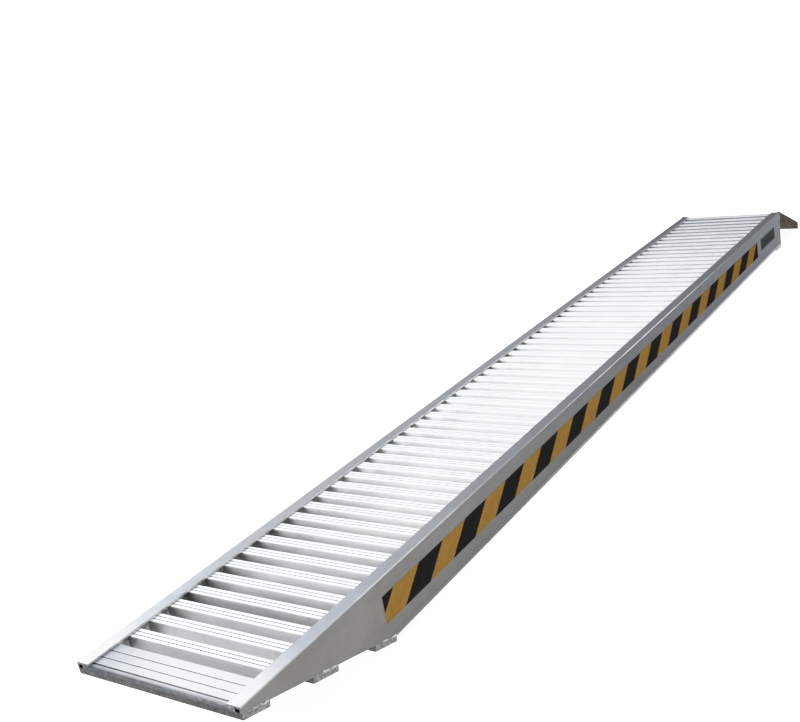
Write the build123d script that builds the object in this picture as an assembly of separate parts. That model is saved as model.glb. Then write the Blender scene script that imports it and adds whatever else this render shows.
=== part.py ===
from build123d import *
import os
from math import atan2, cos, degrees, hypot, sin

# Ladder-deck access ramp, one piece, welded from aluminium extrusions.
# All lengths in millimetres. The model is drawn with x from the nose towards the tongue,
# y across (the right beam at -y), z = 0 on top of the rails, and is moved into its own
# frame at the end: origin at the middle of the bounding box, on the ground, +Z up.

# ---- driving dimensions ----
RAMP_WIDTH = 450.0          # over the outer faces of the two beams
BEAM_LENGTH = 3755.0
BEAM_HEIGHT = 150.0
TAPER_LENGTH = 475.0        # stretch in which the beams are cut down towards the nose
NOSE_HEIGHT = 14.0          # beam height left at the nose

# side beam: hollow box with a rail flange that overhangs the deck
BODY_WIDTH = 20.0
WALL = 4.0
FLANGE_WIDTH = 34.0
FLANGE_THICKNESS = 5.0
DECK_DROP = FLANGE_THICKNESS    # the treads run in right under the flange
FOOT_FLANGE_THICKNESS = 5.0
LIP_HEIGHT = 4.0            # small lip along the bottom edge of the outer face
LIP_DEPTH = 1.5
EDGE_RADIUS = 2.5           # rounded outer edge of the rail
MID_WEB_Z = -76.0
MID_WEB_THICKNESS = 3.0

# rungs
RUNG_COUNT = 61
RUNG_PITCH = 60.0
FIRST_RUNG_X = 113.0        # front edge of the rung next to the nose plate
RUNG_WIDTH = 30.0
RUNG_HEIGHT = 30.0
RUNG_LIP = 1.5              # the tread is wider than the tube below it by this, each side
TREAD_THICKNESS = 5.0
RUNG_WALL = 2.5
TREAD_GROOVE_WIDTH = 2.6
TREAD_GROOVE_DEPTH = 2.2
RUNGS_PER_NODE = 2
RUNG_WELD_LEG = 5.0

# nose plate
NOSE_PLATE_LENGTH = 83.0
NOSE_PLATE_THICKNESS = 4.5
NOSE_LEG = 4.0
NOSE_FRONT_BLOCK = 9.0
NOSE_REAR_LEG_DEPTH = 27.0
NOSE_EDGE_RADIUS = 3.0
NOSE_GROOVE_DEPTH = 1.8
NOSE_GROOVES = ((12.5, 4.6), (35.5, 2.4), (59.5, 2.4))     # centre x, width

# flat bars welded across the underside
BAR_LENGTH = 80.0           # along the slope of the taper
BAR_THICKNESS = 14.0
BAR_REAR_X = {"foot_bar_front": 75.0, "foot_bar_middle": 275.0, "foot_bar_rear": TAPER_LENGTH}
TOP_BAR_LENGTH = 64.0
BEAD_RADIUS = 2.5
BEAD_SHARE = 0.85           # share of a bar's length that is welded
FRONT_BEAD_X = 25.0         # the front bar's bead starts behind the nose

# tongue at the top end
TONGUE_RUN = 320.0
TONGUE_TIP_DROP = 126.0     # top of the tip below the rail tops
TONGUE_TIP_BOTTOM = 160.0
TONGUE_ROOT_BOTTOM = 74.0
CHEEK_RISE = 3.0            # cheeks above the rail tops at the root
TONGUE_PLATE = 8.0
TONGUE_RIB = 8.0
TONGUE_TIP_BAR = 12.0
TONGUE_INNER_RIBS = 3
END_PLATE_THICKNESS = 8.0
END_PLATE_DEPTH = 68.0

# hazard tape and label on the outer faces
TAPE_START_X = 450.0
TAPE_LENGTH = 2928.0
TAPE_TOP = 41.0             # below the rail top
TAPE_WIDTH = 66.0
TAPE_THICKNESS = 0.4
STRIPE_THICKNESS = 0.15
STRIPE_PITCH = 213.0
STRIPE_LEAN = 1.15          # run over rise
FIRST_STRIPE_X = TAPE_START_X + 113.0 - STRIPE_PITCH       # at the middle of the tape
LABEL_LENGTH = 220.0
LABEL_HEIGHT = 51.0
LABEL_TOP = 44.0
LABEL_THICKNESS = 1.0
LABEL_FROM_END = 321.0      # label's near edge to the end of the beam

# ---- derived dimensions ----
HALF_WIDTH = RAMP_WIDTH / 2
TAPER_SLOPE = (BEAM_HEIGHT - NOSE_HEIGHT) / TAPER_LENGTH
TAPER_ANGLE = atan2(BEAM_HEIGHT - NOSE_HEIGHT, TAPER_LENGTH)
TOP_BAR_THICKNESS = BAR_THICKNESS * cos(TAPER_ANGLE)       # so that the ramp lies level
STANDING_HEIGHT = BEAM_HEIGHT + TOP_BAR_THICKNESS
OVERALL_LENGTH = BEAM_LENGTH + TONGUE_RUN
DECK_HALF_WIDTH = HALF_WIDTH - BODY_WIDTH
PLATE_DEPTH = TONGUE_PLATE * hypot(TONGUE_RUN, TONGUE_TIP_DROP - DECK_DROP) / TONGUE_RUN
SIDES = ("right", "left")

to_frame = Pos(-OVERALL_LENGTH / 2, 0, STANDING_HEIGHT)


def taper_z(x):
    """Height of the beams' underside at x, inside the taper."""
    return -NOSE_HEIGHT - TAPER_SLOPE * x


def across(outline, y_from, y_to):
    """A prism across the ramp: an outline of (x, z) points, from y_from to y_to."""
    wire = Polyline([(x, y_from, z) for x, z in outline], close=True)
    return extrude(make_face(wire), amount=y_to - y_from, dir=(0, 1, 0))


def box(x_from, x_to, y_from, y_to, z_from, z_to):
    outline = [(x_from, z_from), (x_to, z_from), (x_to, z_to), (x_from, z_to)]
    return across(outline, y_from, y_to)


def taper_wedge(margin=60.0):
    """Everything below the taper line, to cut away."""
    return across([(-margin, taper_z(-margin)), (TAPER_LENGTH, -BEAM_HEIGHT),
                   (TAPER_LENGTH, -BEAM_HEIGHT - margin), (-margin, -BEAM_HEIGHT - margin)],
                  -RAMP_WIDTH, RAMP_WIDTH)


def on_side(shape, side):
    """Shapes are drawn on the right side (-y); the left one is its mirror image."""
    return shape if side == "right" else mirror(shape, about=Plane.XZ)


def keep(node, *solids):
    """Write one node, its solids kept apart."""
    moved = [to_frame * solid for solid in solids]
    shape = moved[0] if len(moved) == 1 else Compound(children=moved)
    export_step(shape, f"parts/{node}.step")


# ---- side beams ----
def beam():
    outer = -HALF_WIDTH
    inner = outer + BODY_WIDTH
    edge = outer + FLANGE_WIDTH
    bottom = -BEAM_HEIGHT
    foot_top = bottom + FOOT_FLANGE_THICKNESS
    with BuildSketch(Plane.YZ) as section:
        with BuildLine():
            Polyline((outer, 0), (edge, 0), (edge, -FLANGE_THICKNESS), (inner, -FLANGE_THICKNESS),
                     (inner, foot_top), (edge, foot_top), (edge, bottom), (outer - LIP_DEPTH, bottom),
                     (outer - LIP_DEPTH, bottom + LIP_HEIGHT), (outer, bottom + LIP_HEIGHT + LIP_DEPTH),
                     close=True)
        make_face()
        outer_edge = section.vertices().sort_by_distance((outer, 0, 0))[0]
        fillet(outer_edge, EDGE_RADIUS)
        upper = (-FLANGE_THICKNESS, MID_WEB_Z + MID_WEB_THICKNESS / 2)
        lower = (MID_WEB_Z - MID_WEB_THICKNESS / 2, foot_top)
        for top, base in (upper, lower):
            with Locations(((outer + inner) / 2, (top + base) / 2)):
                Rectangle(BODY_WIDTH - 2 * WALL, top - base, mode=Mode.SUBTRACT)
    return extrude(section.sketch, amount=BEAM_LENGTH) - taper_wedge()


# ---- deck ----
def rung(x_front):
    """Grooved tread on a square tube, drawn as one extrusion."""
    top = -DECK_DROP
    groove_floor = top - TREAD_GROOVE_DEPTH
    tube_front = x_front + RUNG_LIP
    tube_rear = x_front + RUNG_WIDTH - RUNG_LIP
    tube_top = top - TREAD_THICKNESS
    bottom = top - RUNG_HEIGHT
    outline = [(tube_front, bottom), (tube_front, tube_top), (x_front, tube_top), (x_front, top)]
    ridge = (RUNG_WIDTH - 2 * TREAD_GROOVE_WIDTH) / 3
    for i in (1, 2):
        start = x_front + i * ridge + (i - 1) * TREAD_GROOVE_WIDTH
        end = start + TREAD_GROOVE_WIDTH
        outline += [(start, top), (start, groove_floor), (end, groove_floor), (end, top)]
    outline += [(x_front + RUNG_WIDTH, top), (x_front + RUNG_WIDTH, tube_top),
                (tube_rear, tube_top), (tube_rear, bottom)]
    hollow = box(tube_front + RUNG_WALL, tube_rear - RUNG_WALL, -HALF_WIDTH, HALF_WIDTH,
                 bottom + RUNG_WALL, tube_top)
    return across(outline, -DECK_HALF_WIDTH, DECK_HALF_WIDTH) - hollow


def rung_weld(x_front, side):
    """Upright fillet weld in the corner between a rung's front face and the beam."""
    wall = -DECK_HALF_WIDTH
    x = x_front + RUNG_LIP
    bottom = -DECK_DROP - RUNG_HEIGHT
    corner = Polyline([(x, wall, bottom), (x - RUNG_WELD_LEG, wall, bottom),
                       (x, wall + RUNG_WELD_LEG, bottom)], close=True)
    bead = extrude(make_face(corner), amount=RUNG_HEIGHT - TREAD_THICKNESS, dir=(0, 0, 1))
    return on_side(bead, side)


def nose_plate():
    """Ribbed plate that closes the deck at the nose and stands on the front foot bar."""
    top = -DECK_DROP
    under = top - NOSE_PLATE_THICKNESS
    rear = NOSE_PLATE_LENGTH
    mid_leg = rear / 2
    deep = top - NOSE_REAR_LEG_DEPTH
    plate = across([(0, top), (rear, top), (rear, deep), (rear - NOSE_LEG, deep),
                    (rear - NOSE_LEG, under), (mid_leg + NOSE_LEG, under), (mid_leg + NOSE_LEG, deep),
                    (mid_leg, deep), (mid_leg, under), (NOSE_FRONT_BLOCK, under),
                    (NOSE_FRONT_BLOCK, deep), (0, deep)],
                   -DECK_HALF_WIDTH, DECK_HALF_WIDTH)
    front_edge = plate.edges().filter_by(Axis.Y).sort_by_distance((0, 0, top))[0]
    plate = fillet(front_edge, NOSE_EDGE_RADIUS)
    for x, width in NOSE_GROOVES:
        plate -= box(x - width / 2, x + width / 2, -HALF_WIDTH, HALF_WIDTH,
                     top - NOSE_GROOVE_DEPTH, 0)
    return plate - taper_wedge()


# ---- bars across the underside ----
def foot_bar(rear_x):
    """Flat bar under the taper, its upper rear edge at rear_x."""
    along = (cos(TAPER_ANGLE), -sin(TAPER_ANGLE))
    down = (-sin(TAPER_ANGLE) * BAR_THICKNESS, -cos(TAPER_ANGLE) * BAR_THICKNESS)
    rear = (rear_x, taper_z(rear_x))
    front = (rear_x - along[0] * BAR_LENGTH, rear[1] - along[1] * BAR_LENGTH)
    outline = [front, rear, (rear[0] + down[0], rear[1] + down[1]),
               (front[0] + down[0], front[1] + down[1])]
    bar = across(outline, -HALF_WIDTH, HALF_WIDTH)
    in_front_of_nose = box(-BAR_LENGTH, 0, -RAMP_WIDTH, RAMP_WIDTH, -BEAM_HEIGHT, 0)
    return bar - in_front_of_nose


def top_bar():
    return box(BEAM_LENGTH - TOP_BAR_LENGTH, BEAM_LENGTH, -HALF_WIDTH, HALF_WIDTH,
               -BEAM_HEIGHT - TOP_BAR_THICKNESS, -BEAM_HEIGHT)


def seam_bead(start, end, side):
    """Half-round weld bead on the outer face, along a seam between two (x, z) points."""
    length = hypot(end[0] - start[0], end[1] - start[1])
    pitch = degrees(atan2(start[1] - end[1], end[0] - start[0]))
    rod = Cylinder(BEAD_RADIUS, length, rotation=(0, 90, 0))
    middle = ((start[0] + end[0]) / 2, -HALF_WIDTH, (start[1] + end[1]) / 2)
    rod = Pos(*middle) * Rot(0, pitch, 0) * rod
    inside = box(-BEAM_LENGTH, 2 * BEAM_LENGTH, -HALF_WIDTH, 0, -2 * BEAM_HEIGHT, BEAM_HEIGHT)
    return on_side(rod - inside, side)


def bar_beads(side, side_beam):
    """The beads along the ends of all four bars, cut back where the beam's lip is."""
    seams = [((BEAM_LENGTH - TOP_BAR_LENGTH, -BEAM_HEIGHT), (BEAM_LENGTH, -BEAM_HEIGHT))]
    for rear_x in BAR_REAR_X.values():
        front_x = max(rear_x - BEAD_SHARE * BAR_LENGTH, FRONT_BEAD_X)
        seams.append(((front_x, taper_z(front_x)), (rear_x, taper_z(rear_x))))
    return [seam_bead(start, end, side) - side_beam for start, end in seams]


# ---- tongue ----
def tongue_top(x, depth=0.0):
    """Height of the tongue plate's upper face at x past the beams' end, less a depth."""
    return -DECK_DROP - (TONGUE_TIP_DROP - DECK_DROP) * x / TONGUE_RUN - depth


def tongue_bottom(x):
    return -TONGUE_ROOT_BOTTOM - (TONGUE_TIP_BOTTOM - TONGUE_ROOT_BOTTOM) * x / TONGUE_RUN


def below_tongue_plate(x_from, x_to, y_from, y_to):
    """A web that fills the height under the tongue plate between two x places."""
    outline = [(BEAM_LENGTH + x_from, tongue_top(x_from, PLATE_DEPTH)),
               (BEAM_LENGTH + x_to, tongue_top(x_to, PLATE_DEPTH)),
               (BEAM_LENGTH + x_to, tongue_bottom(x_to)),
               (BEAM_LENGTH + x_from, tongue_bottom(x_from))]
    return across(outline, y_from, y_to)


def tongue_plate():
    outline = [(BEAM_LENGTH, tongue_top(0)), (BEAM_LENGTH + TONGUE_RUN, tongue_top(TONGUE_RUN)),
               (BEAM_LENGTH + TONGUE_RUN, tongue_top(TONGUE_RUN, PLATE_DEPTH)),
               (BEAM_LENGTH, tongue_top(0, PLATE_DEPTH))]
    inside = HALF_WIDTH - TONGUE_RIB
    return across(outline, -inside, inside)


def tongue_cheek(side):
    """Side plate of the tongue: its upper edge is a low kerb that runs out to the tip."""
    outline = [(BEAM_LENGTH, CHEEK_RISE), (BEAM_LENGTH + TONGUE_RUN, tongue_top(TONGUE_RUN)),
               (BEAM_LENGTH + TONGUE_RUN, tongue_bottom(TONGUE_RUN)),
               (BEAM_LENGTH, tongue_bottom(0))]
    return on_side(across(outline, -HALF_WIDTH, -HALF_WIDTH + TONGUE_RIB), side)


def tongue_inner_ribs():
    spacing = RAMP_WIDTH / (TONGUE_INNER_RIBS + 1)
    ribs = []
    for i in range(1, TONGUE_INNER_RIBS + 1):
        y = -HALF_WIDTH + i * spacing
        ribs.append(below_tongue_plate(0, TONGUE_RUN - TONGUE_TIP_BAR,
                                       y - TONGUE_RIB / 2, y + TONGUE_RIB / 2))
    return ribs


def tongue_tip_bar():
    inside = HALF_WIDTH - TONGUE_RIB
    return below_tongue_plate(TONGUE_RUN - TONGUE_TIP_BAR, TONGUE_RUN, -inside, inside)


def end_plate():
    """Upright plate between the beams that closes the deck and carries the tongue."""
    return box(BEAM_LENGTH - END_PLATE_THICKNESS, BEAM_LENGTH, -DECK_HALF_WIDTH, DECK_HALF_WIDTH,
               -DECK_DROP - END_PLATE_DEPTH, -DECK_DROP)


# ---- tape and label ----
def tape_patch(points, inner_gap, thickness, side):
    """A thin patch on the outer face, from (x, z) points."""
    y_in = -HALF_WIDTH - inner_gap
    return on_side(across(points, y_in - thickness, y_in), side)


def tape_outline():
    end_x = TAPE_START_X + TAPE_LENGTH
    base = -TAPE_TOP - TAPE_WIDTH
    return [(TAPE_START_X, base), (end_x, base), (end_x, -TAPE_TOP), (TAPE_START_X, -TAPE_TOP)]


def tape_stripes(side):
    """Black bars that lean towards the top end, trimmed to the tape."""
    base = -TAPE_TOP - TAPE_WIDTH
    lean = STRIPE_LEAN * TAPE_WIDTH / 2
    tape = tape_patch(tape_outline(), TAPE_THICKNESS, STRIPE_THICKNESS, side)
    stripes = []
    x = FIRST_STRIPE_X
    while x - lean < TAPE_START_X + TAPE_LENGTH:
        bar = [(x - lean, base), (x - lean + STRIPE_PITCH / 2, base),
               (x + lean + STRIPE_PITCH / 2, -TAPE_TOP), (x + lean, -TAPE_TOP)]
        inked = tape & tape_patch(bar, TAPE_THICKNESS, STRIPE_THICKNESS, side)
        stripes += inked.solids()
        x += STRIPE_PITCH
    return stripes


def label():
    x = BEAM_LENGTH - LABEL_FROM_END
    outline = [(x, -LABEL_TOP - LABEL_HEIGHT), (x + LABEL_LENGTH, -LABEL_TOP - LABEL_HEIGHT),
               (x + LABEL_LENGTH, -LABEL_TOP), (x, -LABEL_TOP)]
    return tape_patch(outline, 0, LABEL_THICKNESS, "right")


# ---- write the nodes ----
os.makedirs("parts", exist_ok=True)

rung_fronts = [FIRST_RUNG_X + i * RUNG_PITCH for i in range(RUNG_COUNT)]
for first in range(0, RUNG_COUNT, RUNGS_PER_NODE):
    group = rung_fronts[first:first + RUNGS_PER_NODE]
    numbers = "_".join(f"{first + 1 + i:02d}" for i in range(len(group)))
    keep(f"rungs_{numbers}", *[rung(x) for x in group])

keep("nose_plate", nose_plate())
keep("end_plate", end_plate())
for node, rear_x in BAR_REAR_X.items():
    keep(node, foot_bar(rear_x))
keep("top_bar", top_bar())

keep("tongue_plate", tongue_plate())
keep("tongue_inner_ribs", *tongue_inner_ribs())
keep("tongue_tip_bar", tongue_tip_bar())

for side in SIDES:
    side_beam = on_side(beam(), side)
    keep(f"{side}_beam", side_beam)
    keep(f"{side}_rung_welds", *[rung_weld(x, side) for x in rung_fronts])
    keep(f"{side}_bar_welds", *bar_beads(side, side_beam))
    keep(f"{side}_tongue_cheek", tongue_cheek(side))
    keep(f"{side}_tongue_weld", seam_bead((BEAM_LENGTH, tongue_bottom(0)),
                                          (BEAM_LENGTH, tongue_top(0)), side))
    keep(f"{side}_hazard_tape", tape_patch(tape_outline(), 0, TAPE_THICKNESS, side))
    keep(f"{side}_tape_stripes", *tape_stripes(side))

keep("label_plate", label())
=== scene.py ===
"""Looks for the access ramp: materials, weld beads, label, studio and camera."""

import math
import random

import bpy
from mathutils import Euler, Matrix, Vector


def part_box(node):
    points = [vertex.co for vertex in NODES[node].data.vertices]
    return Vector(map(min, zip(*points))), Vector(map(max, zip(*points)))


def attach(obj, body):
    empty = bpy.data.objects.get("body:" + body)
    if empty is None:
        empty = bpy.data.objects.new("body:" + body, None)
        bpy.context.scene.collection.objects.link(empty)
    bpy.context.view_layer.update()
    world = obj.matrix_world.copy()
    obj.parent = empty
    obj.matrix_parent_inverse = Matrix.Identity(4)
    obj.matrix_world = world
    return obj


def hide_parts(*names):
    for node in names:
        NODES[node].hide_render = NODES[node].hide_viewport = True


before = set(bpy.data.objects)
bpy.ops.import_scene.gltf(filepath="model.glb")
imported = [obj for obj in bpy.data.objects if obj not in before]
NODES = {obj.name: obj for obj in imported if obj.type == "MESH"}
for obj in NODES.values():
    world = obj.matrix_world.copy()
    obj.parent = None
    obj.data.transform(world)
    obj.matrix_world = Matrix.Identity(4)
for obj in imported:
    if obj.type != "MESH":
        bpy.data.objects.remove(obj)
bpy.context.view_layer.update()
MM = 0.001


# ---------------------------------------------------------------- places read from the frame
RAIL_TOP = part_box("right_beam")[1].z
OUTER_Y = abs(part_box("right_hazard_tape")[1].y)      # the beams' outer faces, either side
TOP_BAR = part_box("top_bar")
BAR_DROP = TOP_BAR[1].z - TOP_BAR[0].z               # a foot bar's thickness, measured upright


def rear_top(bar):
    """The upper rear edge of a foot bar, as (x, z)."""
    low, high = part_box(bar)
    return Vector((high.x, low.z + BAR_DROP))


NOSE_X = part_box("nose_plate")[0].x
RAMP_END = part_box("right_beam")[1].x                 # the beams' end, where the tongue starts
TREAD_SHADE_FROM = 0.1 * RAMP_END                           # the treads are painted darker from here on, as shade towards the tongue

FIRST_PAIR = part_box("rungs_01_02")                   # gives the treads' pitch, width and top
TREAD_PITCH = (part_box("rungs_03_04")[0].x - FIRST_PAIR[0].x) / 2
TREAD_WIDTH = FIRST_PAIR[1].x - FIRST_PAIR[0].x - TREAD_PITCH
TREAD_TOP = FIRST_PAIR[1].z

FOOT_BARS = ("foot_bar_front", "foot_bar_middle", "foot_bar_rear")
TAPER = rear_top("foot_bar_rear") - rear_top("foot_bar_front")
TAPER_SLOPE = TAPER.y / TAPER.x                      # rise over run of the beams' tapered underside


# ---------------------------------------------------------------- material helpers
def maths(tree, operation, value, *numbers):
    """A maths node over a value; the numbers are its second and third inputs."""
    node = tree.nodes.new("ShaderNodeMath")
    node.operation = operation
    tree.links.new(value, node.inputs[0])
    for socket, number in enumerate(numbers, start=1):
        node.inputs[socket].default_value = number
    return node.outputs[0]


def colour_ramp(tree, value, stops):
    """A colour ramp over a value; each stop is (position, grey or colour)."""
    node = tree.nodes.new("ShaderNodeValToRGB")
    while len(node.color_ramp.elements) < len(stops):
        node.color_ramp.elements.new(0.5)
    for element, (position, colour) in zip(node.color_ramp.elements, stops):
        element.position = position
        grey = isinstance(colour, (int, float))
        element.color = (colour, colour, colour, 1) if grey else (*colour, 1)
    tree.links.new(value, node.inputs["Fac"])
    return node.outputs["Color"]


def ramp_toward(tree, direction, axis, stops):
    """A colour ramp over the cosine between a direction and an axis; stops are (cosine, colour)."""
    dot = tree.nodes.new("ShaderNodeVectorMath")
    dot.operation = "DOT_PRODUCT"
    dot.inputs[1].default_value = Vector(axis).normalized()
    tree.links.new(direction, dot.inputs[0])
    share = maths(tree, "MULTIPLY_ADD", dot.outputs["Value"], 0.5, 0.5)
    shares = [(0.5 + 0.5 * cosine, colour) for cosine, colour in stops]
    return colour_ramp(tree, share, shares)


def mix(tree, kind, first, second, factor=None):
    """Mixes two colours, fully if no factor is given."""
    node = tree.nodes.new("ShaderNodeMix")
    node.data_type = "RGBA"
    node.blend_type = kind
    tree.links.new(first, node.inputs["A"])
    tree.links.new(second, node.inputs["B"])
    if factor is None:
        node.inputs["Factor"].default_value = 1.0
    else:
        tree.links.new(factor, node.inputs["Factor"])
    return node.outputs["Result"]


class Shader:
    """A node material with a Principled shader; constants go straight on its sockets."""

    def __init__(self, name, **constants):
        self.material = bpy.data.materials.new(name)
        self.material.use_nodes = True
        self.tree = self.material.node_tree
        self.nodes = self.tree.nodes
        self.links = self.tree.links
        self.bsdf = self.nodes["Principled BSDF"]
        for socket, value in constants.items():
            self.bsdf.inputs[socket.replace("_", " ")].default_value = value
        coordinates = self.nodes.new("ShaderNodeTexCoord")
        self.place = coordinates.outputs["Object"]
        self.normal = coordinates.outputs["Normal"]
        self.height = None

    def noise(self, scale, detail=3.0, roughness=0.55, distortion=0.0):
        """Noise in metres: scale is cells per metre along X, Y and Z."""
        mapping = self.nodes.new("ShaderNodeMapping")
        mapping.inputs["Scale"].default_value = scale
        texture = self.nodes.new("ShaderNodeTexNoise")
        texture.inputs["Scale"].default_value = 1.0
        texture.inputs["Detail"].default_value = detail
        texture.inputs["Roughness"].default_value = roughness
        texture.inputs["Distortion"].default_value = distortion
        self.links.new(self.place, mapping.inputs["Vector"])
        self.links.new(mapping.outputs["Vector"], texture.inputs["Vector"])
        return texture.outputs["Fac"]

    def ramp(self, value, *stops):
        return colour_ramp(self.tree, value, stops)

    def facing(self, axis, *stops):
        """A ramp over the cosine between the surface's normal and an axis."""
        return ramp_toward(self.tree, self.normal, axis, stops)

    def component(self, vector, axis):
        """The "X", "Y" or "Z" of a normal or a place."""
        split = self.nodes.new("ShaderNodeSeparateXYZ")
        self.links.new(vector, split.inputs["Vector"])
        return split.outputs[axis]

    def across(self, vector, axis, *stops):
        """A ramp over the size of one component of a normal or a place, alike on both sides."""
        return self.ramp(maths(self.tree, "ABSOLUTE", self.component(vector, axis)), *stops)

    def along(self, axis, *stops):
        """A ramp over the place along "X", "Y" or "Z"; each stop is (metres, value)."""
        first, last = stops[0][0], stops[-1][0]
        share = self.nodes.new("ShaderNodeMapRange")
        share.inputs["From Min"].default_value = first
        share.inputs["From Max"].default_value = last
        self.links.new(self.component(self.place, axis), share.inputs["Value"])
        shares = [((place - first) / (last - first), value) for place, value in stops]
        return self.ramp(share.outputs["Result"], *shares)

    def repeat_x(self, start, pitch, *stops):
        """A ramp that starts afresh every pitch along X; stops are metres after the start."""
        count = maths(self.tree, "MULTIPLY_ADD", self.component(self.place, "X"), 1 / pitch,
                      -start / pitch)
        share = maths(self.tree, "FRACT", count)
        return self.ramp(share, *((x / pitch, value) for x, value in stops))

    def multiply(self, first, second):
        return mix(self.tree, "MULTIPLY", first, second)

    def blend(self, mask, first, second):
        """The first where the mask is 0 and the second where it is 1."""
        return mix(self.tree, "MIX", first, second, mask)

    def grain(self, along, strength):
        """Brushed reflection, rougher across the grain than along it; the grain wanders."""
        wander = self.noise((12, 12, 12))
        little = (0.04, 0.04, 0.04)
        direction = self.nodes.new("ShaderNodeVectorMath")
        direction.operation = "MULTIPLY_ADD"
        direction.inputs[1].default_value = little
        direction.inputs[2].default_value = along
        self.links.new(wander, direction.inputs[0])
        self.links.new(direction.outputs["Vector"], self.bsdf.inputs["Tangent"])
        self.bsdf.inputs["Anisotropic"].default_value = strength
        self.bsdf.inputs["Anisotropic Rotation"].default_value = 0.25      # a quarter turn

    def colour(self, output):
        self.links.new(output, self.bsdf.inputs["Base Color"])

    def edge_tint(self, output):
        """How much of the reflection is kept at grazing angles."""
        self.links.new(output, self.bsdf.inputs["Specular Tint"])

    def roughness(self, output):
        self.links.new(output, self.bsdf.inputs["Roughness"])

    def bump(self, value, distance):
        """Adds relief with a depth in metres; several stack up."""
        node = self.nodes.new("ShaderNodeBump")
        node.inputs["Distance"].default_value = distance
        node.inputs["Strength"].default_value = 1.0
        self.links.new(value, node.inputs["Height"])
        if self.height is not None:
            self.links.new(self.height, node.inputs["Normal"])
        self.height = node.outputs["Normal"]
        self.links.new(self.height, self.bsdf.inputs["Normal"])


def aluminium(name, light, dark, smooth, rough, lines, relief=0.00003, **constants):
    """Aluminium with long die lines, soft cloudy patches and a few darker scuffs.

    lines is the die lines' cells per metre along X, Y and Z, few along the extrusion. Gives the
    shader and its base colour, which each material finishes.
    """
    s = Shader(name, Metallic=1.0, **constants)
    die_lines = s.noise(lines, detail=2.0)
    clouds = s.noise((5, 9, 9), detail=4.0, distortion=0.4)
    scuffs = s.noise((40, 60, 60), detail=5.0, roughness=0.6)
    base = s.ramp(die_lines, (0.30, dark), (0.62, light))
    patchy = s.ramp(clouds, (0.30, 0.88), (0.70, 1.0))
    worn = s.ramp(scuffs, (0.30, 0.94), (0.50, 1.0))
    s.roughness(s.ramp(s.noise((30, 60, 60), detail=4.0), (0.3, smooth), (0.7, rough)))
    s.bump(die_lines, relief)
    s.bump(scuffs, 0.00002)
    return s, s.multiply(s.multiply(base, patchy), worn)


# ---------------------------------------------------------------- materials
DECK_EDGE_Y = 0.19                                   # the treads run in under the rails about here
WEB_PAINTED_SHADE = (0.635, 0.62, 0.60)                      # painted shade of a web against its rail, at the nose
WEB_PAINTED_SHADE_END = (0.52, 0.53, 0.56)                   # the same painted shade at the tongue's end


def tread_material():
    """Grooved treads with painted shade towards the tongue and in their top grooves.

    The upright faces between the treads have painted light and shade of their own: painted
    shade at their ends by the beams, and painted light at their left ends at mid-length.
    """
    s, base = aluminium("bright_tread", (0.58, 0.585, 0.59), (0.51, 0.515, 0.52), 0.42, 0.50,
                        (900, 5, 900), Specular_Tint=(0.75, 0.76, 0.79, 1))
    # the upright faces between the treads get painted light and shade apart from the tops
    upright = s.across(s.normal, "X", (0.3, 0.0), (0.9, 1.0))
    # painted shade along the ramp: the tops darker towards the tongue; the upright faces lightest a
    # third of the way along and darkest at the tongue's end
    tops = s.along("X", (TREAD_SHADE_FROM, (0.91, 0.93, 0.95)), (RAMP_END, (0.54, 0.55, 0.57)))
    faces = s.along("X", (NOSE_X, 0.60), (NOSE_X + 0.8, 0.92), (NOSE_X + 1.4, 0.97),
                    (TREAD_SHADE_FROM, 0.80), (RAMP_END, (0.18, 0.19, 0.21)))
    # painted shade on the faces' ends by the beams, and painted light on their left ends about
    # mid-length
    mid_length = s.along("X", (NOSE_X + 0.5, 0.0), (NOSE_X + 1.0, 0.8), (NOSE_X + 1.5, 1.0),
                         (NOSE_X + 2.1, 0.0))
    dark_ends = s.across(s.place, "Y", (0.13, 1.0), (DECK_EDGE_Y, 0.86))
    light_left_end = s.along("Y", (0.12, 1.0), (0.16, 1.35))
    faces = s.multiply(faces, s.blend(mid_length, dark_ends, light_left_end))
    shade = s.blend(upright, tops, faces)
    # painted shade in the upper groove walls, growing darker away from the nose
    between_edges = s.repeat_x(FIRST_PAIR[0].x, TREAD_PITCH, (2 * MM, 0.0), (3 * MM, 1.0),
                               (TREAD_WIDTH - 3 * MM, 1.0), (TREAD_WIDTH - 2 * MM, 0.0))
    near_top = s.along("Z", (TREAD_TOP - 2.6 * MM, 0.0), (TREAD_TOP - 2.3 * MM, 1.0))
    grooves = s.multiply(upright, s.multiply(between_edges, near_top))
    groove_shade = s.multiply(shade, s.along("X", (NOSE_X, 0.60), (NOSE_X + 1.2, 0.22)))
    s.colour(s.multiply(base, s.blend(grooves, shade, groove_shade)))
    s.grain((0, 1, 0), 0.85)
    return s.material


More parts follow.
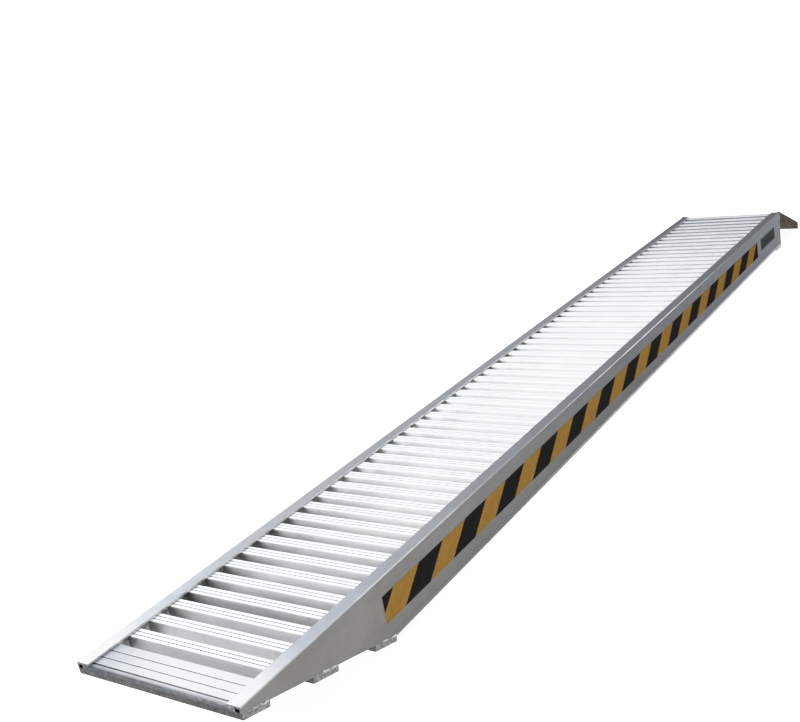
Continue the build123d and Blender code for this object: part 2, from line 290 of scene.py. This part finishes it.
def nose_material():
    """Nose plate with painted shade in its grooves, along its front edge and towards the left.

    Its leading face has a grimy mottle, darkened further as painted shade.
    """
    s, base = aluminium("bright_nose_plate", (0.36, 0.365, 0.37), (0.32, 0.325, 0.33), 0.38, 0.48,
                        (700, 4, 700))
    # painted shade along the nose's front edge, over its first 13 mm
    front_edge = s.along("X", (NOSE_X + 1 * MM, (0.26, 0.27, 0.29)), (NOSE_X + 13 * MM, 1.0))
    # painted reflection: darker and bluer towards the left rail
    left_painted_reflection = s.along("Y", (0.0, 1.0), (DECK_EDGE_Y, (0.50, 0.53, 0.58)))
    base = s.multiply(s.multiply(base, front_edge), left_painted_reflection)
    # the leading face is darkened by a mottle, partly grime and partly painted shade
    grime_and_shade = s.ramp(s.noise((90, 90, 160), detail=5.0), (0.35, 0.50), (0.6, 0.92))
    leading = s.facing((-1, 0, 0), (0.35, 0.0), (0.65, 1.0))
    # painted shade in the nose's grooves, darker and bluer
    grooves = s.along("Z", (TREAD_TOP - 1.2 * MM, (0.34, 0.37, 0.42)), (TREAD_TOP - 0.8 * MM, 1.0))
    s.colour(s.blend(leading, s.multiply(base, grooves), s.multiply(base, grime_and_shade)))
    s.grain((0, 1, 0), 0.85)
    return s.material


def beam_material():
    """Satin side beams: a painted highlight on the upper corners, webs painted darker as shade,
    and inner walls painted lighter, with painted shade below the rail.

    The left rail's top is painted brighter than the right one's at mid-length, as painted light.
    """
    s, base = aluminium("satin_beam", (0.235, 0.235, 0.231), (0.225, 0.225, 0.221), 0.32, 0.40,
                        (1.5, 260, 260), relief=0.00001)
    speckle = s.ramp(s.noise((420, 420, 420), detail=3.0), (0.35, 0.90), (0.65, 1.0))
    outside = s.multiply(base, speckle)
    web = s.across(s.normal, "Y", (0.96, 0.0), (0.99, 1.0))
    # painted light: the rail tops brightest at the nose, bluish just after it, a little darker at
    # the tongue's end
    tops = s.along("X", (NOSE_X, 1.6), (NOSE_X + 0.2, (0.93, 0.985, 1.07)), (NOSE_X + 0.7, 1.0),
                   (0.0, 1.0), (RAMP_END, 0.94))
    # painted light: the left rail's top brighter about mid-length, darker at the tongue's end
    left_side = s.along("Y", (-0.1, 0.0), (0.1, 1.0))
    left_rail = s.along("X", (NOSE_X + 0.3, 0.96), (NOSE_X + 0.8, 1.06), (NOSE_X + 2.0, 1.29),
                        (NOSE_X + 2.8, 1.24), (RAMP_END, 0.80))
    tops = mix(s.tree, "MULTIPLY", tops, left_rail, left_side)
    # painted shade: the webs darker than the rail tops, and darker still about the middle of the
    # ramp
    webs = s.multiply(s.along("X", (NOSE_X, WEB_PAINTED_SHADE), (RAMP_END, WEB_PAINTED_SHADE_END)),
                      s.across(s.place, "X", (0.3, 0.91), (1.3, 1.0)))
    outside = s.multiply(outside, s.blend(web, tops, webs))
    # painted highlight on the beams' upper corners, strongest at mid-length
    rounded = s.across(s.normal, "Y", (0.25, 0.0), (0.45, 1.0), (0.88, 1.0), (0.97, 0.0))
    at_top = s.along("Z", (RAIL_TOP - 4 * MM, 0.0), (RAIL_TOP - 3 * MM, 1.0))
    corner = s.multiply(s.multiply(rounded, at_top),
                        s.across(s.place, "X", (0.6, 1.0), (1.1, 0.35)))
    painted_corner_highlight = s.ramp(s.noise((14, 200, 200), detail=3.0), (0.35, 0.26), (0.6, 0.46))
    outside = s.blend(corner, outside, painted_corner_highlight)
    # painted light: the inner walls lighter than the outer faces, with painted shade below the rail
    inner_side = s.across(s.place, "Y", (0.187, 0.0), (0.190, 1.0), (0.207, 1.0), (0.212, 0.0))
    inner_wall = s.multiply(inner_side, s.across(s.normal, "Y", (0.6, 0.0), (0.9, 1.0)))
    below_rail = s.along("Z", (RAIL_TOP - 7 * MM, 0.55), (RAIL_TOP - 5 * MM, 1.0))
    painted_inner_light = s.ramp(s.noise((40, 40, 60), detail=4.0), (0.3, 0.66), (0.7, 0.86))
    base = s.blend(inner_wall, outside, s.multiply(painted_inner_light, below_rail))
    cut_end = s.facing((-1, 0, 0), (0.90, 0.0), (0.97, 1.0))
    sawn = s.ramp(s.noise((300, 300, 300), detail=4.0), (0.35, 0.05), (0.6, 0.12))
    s.colour(s.blend(cut_end, base, sawn))
    # the webs and tops keep less reflection at grazing angles than the rounded corners, as painted
    # shade towards the far end
    s.edge_tint(s.across(s.normal, "Y", (0.2, (0.67, 0.68, 0.70)), (0.6, 1.0),
                         (0.95, (0.50, 0.515, 0.535))))
    s.grain((1, 0, 0), 0.8)
    return s.material


def bar_material(name, light, dark, painted_leading_shade):
    """Flat bar with mottled faces.

    The last argument is the painted shade of the face towards the nose.
    """
    s, base = aluminium(name, light, dark, 0.36, 0.55, (300, 300, 300), relief=0.0003)
    mottled = s.ramp(s.noise((170, 170, 170), detail=4.0), (0.35, 0.45), (0.6, 1.0))
    slanted = (-1, 0, 0.28)                          # the bars lie along the beams' taper
    # painted shade on the face towards the nose
    leading = s.facing(slanted, (0.7, 1.0), (0.95, painted_leading_shade))
    s.colour(s.multiply(s.multiply(base, mottled), leading))
    return s.material


def plate_material(name, light, dark, edge):
    """Rolled plate, darker than the extrusions; edge is its tint at grazing angles."""
    s, base = aluminium(name, light, dark, 0.36, 0.52, (8, 300, 300), Specular_Tint=edge)
    s.colour(base)
    return s.material


def weld_material(name, soot_grey, metal, glint):
    """Hand-laid weld: painted bright glints in dull, sooty metal, from three greys."""
    s = Shader(name, Metallic=1.0)
    fine = s.noise((700, 700, 700), detail=4.0)
    soot = s.noise((95, 95, 95), detail=3.0)
    crests = s.ramp(fine, (0.3, 0.5), (0.6, 1.0))
    # the brightest grey is painted highlight in patches; the darkest is soot
    s.colour(s.multiply(crests, s.ramp(soot, (0.38, soot_grey), (0.52, metal), (0.62, glint))))
    s.roughness(s.ramp(soot, (0.3, 0.45), (0.7, 0.26)))
    s.bump(fine, 0.0005)
    return s.material


def vinyl(name, light, dark, far_end_shade=1.0):
    """Satin vinyl with a faint mottle.

    The last argument is how much colour is left at the tongue's end, as painted shade.
    """
    s = Shader(name, Specular_IOR_Level=0.0)
    mottle = s.noise((45, 45, 45), detail=5.0, distortion=0.3)
    fine = s.noise((900, 900, 900), detail=2.0)
    # painted shade: darker towards the tongue's end
    s.colour(s.multiply(s.ramp(mottle, (0.3, dark), (0.68, light)),
                        s.along("X", (NOSE_X + 0.6, 1.0), (RAMP_END, far_end_shade))))
    s.roughness(s.ramp(fine, (0.3, 0.34), (0.7, 0.5)))
    s.bump(fine, 0.00002)
    return s.material


TREAD = tread_material()
NOSE = nose_material()
BEAM = beam_material()
BAR = bar_material("flat_bar", (0.20, 0.20, 0.197), (0.13, 0.13, 0.128), 0.3)
CLEAN_BAR = bar_material("clean_flat_bar", (0.42, 0.42, 0.425), (0.30, 0.30, 0.305), 1.0)
# the cheeks' brown tint is painted very dark as shade on the tongue's side plates
CHEEK = plate_material("shaded_cheek_plate", (0.034, 0.027, 0.023), (0.018, 0.015, 0.013),
                       (0.50, 0.48, 0.46, 1))
PLATE = plate_material("dull_plate", (0.21, 0.205, 0.20), (0.15, 0.145, 0.14),
                       (0.70, 0.70, 0.70, 1))
WELD = weld_material("weld_bead", 0.12, 0.22, 0.42)
DULL_WELD = weld_material("dull_weld_bead", 0.10, 0.16, 0.22)
YELLOW = vinyl("tape_yellow", (0.155, 0.086, 0.021), (0.128, 0.070, 0.016), far_end_shade=0.72)
BLACK = vinyl("tape_black", (0.0078, 0.0078, 0.0081), (0.0058, 0.0058, 0.0061))
LABEL_FACE = vinyl("label_face", (0.023, 0.029, 0.027), (0.012, 0.016, 0.015))
LABEL_EDGE = vinyl("label_edge", (0.09, 0.10, 0.097), (0.06, 0.068, 0.065))
LABEL_FIELD = vinyl("label_field", (0.034, 0.030, 0.020), (0.012, 0.012, 0.009))


def material_of(node):
    """Which material a CAD node gets."""
    if node.startswith("rungs_"):
        return TREAD
    if node == "nose_plate":
        return NOSE
    if node.endswith("_beam"):
        return BEAM
    if node.endswith("_hazard_tape"):
        return YELLOW
    if node.endswith("_tape_stripes"):
        return BLACK
    if node.endswith("_rung_welds"):
        return DULL_WELD
    if node.endswith("_welds") or node.endswith("_weld"):
        return WELD
    if node == "top_bar":
        return CLEAN_BAR
    if node.endswith("_tongue_cheek"):
        return CHEEK
    if "tongue" in node or node == "end_plate":
        return PLATE
    return BAR


# how wide each material's broken edges are
EDGE = {TREAD: 0.35 * MM, NOSE: 0.4 * MM, BEAM: 0.5 * MM, BAR: 0.9 * MM, CLEAN_BAR: 2 * MM,
        CHEEK: 0.9 * MM, PLATE: 0.9 * MM}


def soften_edges(node, width):
    """Breaks a CAD node's sharp edges so that they catch light."""
    weld = node.modifiers.new("join_faces", "WELD")
    weld.merge_threshold = 0.01 * MM
    bevel = node.modifiers.new("broken_edges", "BEVEL")
    bevel.width = width
    bevel.segments = 2
    bevel.limit_method = "ANGLE"
    bevel.angle_limit = math.radians(40)
    bevel.use_clamp_overlap = True


for name, node in NODES.items():
    material = material_of(name)
    node.data.materials.clear()
    node.data.materials.append(material)
    if material in EDGE:
        soften_edges(node, EDGE[material])


# ---------------------------------------------------------------- pieces made here
def add_object(name, data):
    """Makes an object and puts it in the scene."""
    made = bpy.data.objects.new(name, data)
    bpy.context.scene.collection.objects.link(made)
    return made


def add_mesh(name, vertices, faces, material, slot, smooth=True):
    """Makes a piece from vertices and faces, with its material; slot is not used."""
    mesh = bpy.data.meshes.new(name)
    mesh.from_pydata(vertices, [], faces)
    mesh.validate()
    mesh.materials.append(material)
    for polygon in mesh.polygons:
        polygon.use_smooth = smooth
    piece = add_object(name, mesh)
    return piece


POINTS_AROUND = 9                                    # over a bead's half-round
STEPS_PER_RIPPLE = 6                                 # along a bead
STEPS_PER_KNOT = 12                                  # a bead's width and line change at knots
RIPPLE_SWELL = 0.16                                  # how much a ripple swells the bead
BEAD_SPREAD, BEAD_RISE = 1.25, 0.85                  # a bead's half-width and height over its size
BEAD_SINK = 0.2 * MM                                 # how far a bead is sunk into the metal
RIPPLE_LEAD = 0.8 * MM                               # how far a crest is ahead of its sides


def bead_runs(runs, seed, radius=1.9 * MM, ripple=3.2 * MM):
    """Vertices and faces of hand-laid weld beads along straight seams.

    A run is (start, end, out): the seam's ends and the direction that the bead stands out in.
    Each bead is a low half-round with scalloped ripples; its width and line wander.
    """
    wander = random.Random(seed)
    vertices, faces = [], []
    around = POINTS_AROUND
    for start, end, out in runs:
        along = (end - start).normalized()
        across = along.cross(out).normalized()
        length = (end - start).length
        steps = max(STEPS_PER_KNOT, int(length / (ripple / STEPS_PER_RIPPLE)))
        knots = steps // STEPS_PER_KNOT + 3
        widths = [wander.uniform(0.65, 1.35) for _ in range(knots)]
        drifts = [wander.uniform(-0.5, 0.5) * radius for _ in range(knots)]
        first = len(vertices)
        for i in range(steps + 1):
            knot, part = divmod(i / STEPS_PER_KNOT, 1)
            part = part * part * (3 - 2 * part)
            a, b = int(knot), int(knot) + 1
            width = widths[a] * (1 - part) + widths[b] * part
            drift = drifts[a] * (1 - part) + drifts[b] * part
            ends = min(1.0, 0.4 + min(i, steps - i) / 8)         # narrow where it starts and stops
            swell = abs(math.sin(math.pi * i / STEPS_PER_RIPPLE))
            size = radius * width * ends * (1 + RIPPLE_SWELL * swell)
            centre = start + along * (length * i / steps) + across * drift
            for j in range(around):
                turn = math.pi * j / (around - 1)
                side = math.cos(turn) * size * BEAD_SPREAD
                rise = math.sin(turn) * size * BEAD_RISE - BEAD_SINK
                lead = math.sin(turn) * RIPPLE_LEAD
                vertices.append(centre + across * side + out * rise + along * lead)
        for i in range(steps):
            for j in range(around - 1):
                a = first + i * around + j
                faces.append((a, a + 1, a + around + 1, a + around))
        faces.append(tuple(first + j for j in range(around)))
        faces.append(tuple(first + steps * around + j for j in reversed(range(around))))
    return [tuple(v) for v in vertices], faces


WELDED_SHARE = {"foot_bar_front": 0.62, "foot_bar_middle": 0.86, "foot_bar_rear": 0.86}


def side_seams(sign):
    """Seams on one outer face, along the ends of the four bars."""
    y = sign * OUTER_Y
    out = Vector((0, sign, 0))
    seams = []
    for bar in FOOT_BARS:
        low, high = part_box(bar)
        rear = rear_top(bar)
        run = (high.x - low.x) * WELDED_SHARE[bar]
        seams.append((Vector((rear.x - run, y, rear.y - TAPER_SLOPE * run)),
                      Vector((rear.x - 1 * MM, y, rear.y - TAPER_SLOPE * MM)), out))
    low, high = TOP_BAR
    seams.append((Vector((low.x + 4 * MM, y, high.z)), Vector((high.x - 2 * MM, y, high.z)), out))
    return seams


def tongue_seam(sign):
    """The upright seam where the tongue's cheek meets the beam."""
    low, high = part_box(("right" if sign < 0 else "left") + "_tongue_weld")
    x = (low.x + high.x) / 2
    y = sign * OUTER_Y
    return [(Vector((x, y, low.z + 2 * MM)), Vector((x, y, high.z - 2 * MM)), Vector((0, sign, 0)))]


for side, sign in (("right", -1), ("left", 1)):
    bar_beads = add_mesh(f"{side}_bar_beads", *bead_runs(side_seams(sign), seed=11 + sign), WELD,
                         "weld_bead")
    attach(bar_beads, "root")
    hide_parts(f"{side}_bar_welds")
    seam = tongue_seam(sign)
    root_bead = add_mesh(f"{side}_tongue_bead", *bead_runs(seam, seed=21 + sign, radius=1.4 * MM),
                         DULL_WELD, "weld_bead")
    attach(root_bead, "root")
    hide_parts(f"{side}_tongue_weld")


def rounded_rectangle(x_low, x_high, z_low, z_high, radius, steps=5):
    """Corner points of a rounded rectangle in the XZ plane, anticlockwise seen from -Y."""
    points = []
    corners = ((x_high - radius, z_low + radius, -90), (x_high - radius, z_high - radius, 0),
               (x_low + radius, z_high - radius, 90), (x_low + radius, z_low + radius, 180))
    for x, z, start in corners:
        for i in range(steps + 1):
            a = math.radians(start + 90 * i / steps)
            points.append((x + radius * math.cos(a), z + radius * math.sin(a)))
    return points


def plate(name, outline, y_back, y_front, material):
    """A thin plate facing -Y, from an XZ outline."""
    count = len(outline)
    vertices = [(x, y_back, z) for x, z in outline] + [(x, y_front, z) for x, z in outline]
    faces = [tuple(range(count, 2 * count)), tuple(reversed(range(count)))]
    for i in range(count):
        j = (i + 1) % count
        faces.append((i, j, count + j, count + i))
    return add_mesh(name, vertices, faces, material, "label", smooth=False)


def ring(name, outer, inner, y_back, y_front, material):
    """A flat frame between two outlines with the same number of points."""
    count = len(outer)
    vertices = []
    for y in (y_back, y_front):
        vertices += [(x, y, z) for x, z in outer] + [(x, y, z) for x, z in inner]
    faces = []
    for i in range(count):
        j = (i + 1) % count
        faces.append((2 * count + i, 2 * count + j, 3 * count + j, 3 * count + i))
        faces.append((i, j, 2 * count + j, 2 * count + i))
        faces.append((count + j, count + i, 3 * count + i, 3 * count + j))
    return add_mesh(name, vertices, faces, material, "label", smooth=False)


def label_pieces():
    """Blank rating label: a dark face, a lighter border and one empty field."""
    low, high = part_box("label_plate")
    back, front = high.y, low.y + 0.3 * MM
    face = plate("label_face_plate", rounded_rectangle(low.x, high.x, low.z, high.z, 4 * MM), back,
                 front, LABEL_FACE)
    rim = 2.2 * MM
    border = ring("label_border",
                  rounded_rectangle(low.x + rim, high.x - rim, low.z + rim, high.z - rim, 3 * MM),
                  rounded_rectangle(low.x + 2 * rim, high.x - 2 * rim, low.z + 2 * rim,
                                    high.z - 2 * rim, 2 * MM), front, low.y, LABEL_EDGE)
    length, height = high.x - low.x, high.z - low.z
    field = plate("label_field",
                  rounded_rectangle(low.x + 0.62 * length, high.x - 0.05 * length,
                                    low.z + 0.2 * height, high.z - 0.2 * height, 1.5 * MM),
                  front, low.y, LABEL_FIELD)
    return face, border, field


label_face, label_border, label_field = label_pieces()
for piece in (label_face, label_border, label_field):
    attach(piece, "root")
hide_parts("label_plate")


# ---------------------------------------------------------------- studio
def floor():
    """Pale studio floor, lit from below like a light table so that shadows stay faint."""
    s = Shader("pale_floor", Roughness=0.9, Emission_Color=(1, 1, 1, 1), Emission_Strength=1.2)
    s.colour(s.ramp(s.noise((3, 3, 3)), (0.3, 0.34), (0.7, 0.36)))
    reach = 60                                       # metres each way
    corners = [(-reach, -reach, 0), (reach, -reach, 0), (reach, reach, 0), (-reach, reach, 0)]
    mesh = bpy.data.meshes.new("floor")
    mesh.from_pydata(corners, [], [(0, 1, 2, 3)])
    mesh.materials.append(s.material)
    plane = add_object("floor", mesh)


def sky():
    """Soft studio surround: dim beyond the tongue and on the right, bright behind the camera.

    The camera itself sees a plain white backdrop.
    """
    world = bpy.data.worlds.new("studio")
    bpy.context.scene.world = world
    world.use_nodes = True
    tree = world.node_tree
    direction = tree.nodes.new("ShaderNodeTexCoord").outputs["Generated"]
    far_end = ramp_toward(tree, direction, (1, 0, 0), (
        (0.35, (3.2, 3.2, 3.2)), (0.49, (6.8, 6.9, 7.1)), (0.57, (3.3, 3.4, 3.6)),
        (0.68, (2.1, 2.2, 2.4)), (0.78, (1.38, 1.45, 1.6)), (0.85, (0.98, 1.02, 1.12)),
        (0.92, (0.56, 0.59, 0.65)), (0.96, (0.32, 0.34, 0.38))))
    right_side = ramp_toward(tree, direction, (0, -1, 0), ((-0.1, 1.0), (0.25, 0.42)))
    behind_camera = ramp_toward(tree, direction, (-1, 0, 0.35),
                                ((0.72, 0.0), (0.80, 3.0), (0.88, 7.0)))
    strip = ramp_toward(tree, direction, (0.90, -0.30, 0.31), ((0.978, 0.0), (0.990, 6.0)))
    seen = tree.nodes.new("ShaderNodeLightPath").outputs["Is Camera Ray"]
    backdrop = colour_ramp(tree, seen, ((0.0, 0.0), (1.0, 3.0)))
    light = mix(tree, "MULTIPLY", far_end, right_side)
    for more in (behind_camera, strip, backdrop):
        light = mix(tree, "ADD", light, more)
    tree.links.new(light, tree.nodes["Background"].inputs["Color"])


floor()
sky()


def camera_response():
    """A photographic shoulder: tones up to 0.6 as they are, brighter ones eased into white."""
    view = bpy.context.scene.view_settings
    view.view_transform = "Standard"
    view.use_curve_mapping = True
    mapping = view.curve_mapping
    white = 2.0                                      # the scene light at the curve's right end
    mapping.white_level = (white, white, white)
    curve = mapping.curves[3]
    shoulder = ((0.3, 0.3), (0.6, 0.6), (0.8, 0.765), (1.0, 0.88), (1.3, 0.955), (1.6, 0.985))
    for scene_light, shown in shoulder:
        curve.points.new(scene_light / white, shown)
    mapping.update()


camera_response()


# ---------------------------------------------------------------- camera
CAMERA_PLACE = Vector((NOSE_X - 1.0855, -1.5101, 1.2607))   # metres
HEADING, PITCH, ROLL = 36.16, -17.39, -10.65          # degrees; heading from +X towards +Y
LENS, SENSOR_WIDTH = 47.32, 36                        # mm

camera_data = bpy.data.cameras.new("camera")
camera_data.lens = LENS
camera_data.sensor_width = SENSOR_WIDTH
camera = add_object("camera", camera_data)
upright = Euler((math.radians(90 + PITCH), 0, math.radians(HEADING - 90)), "XYZ").to_matrix()
rolled = upright @ Euler((0, 0, math.radians(ROLL)), "XYZ").to_matrix()
camera.matrix_world = rolled.to_4x4()
camera.location = CAMERA_PLACE
bpy.context.scene.camera = camera
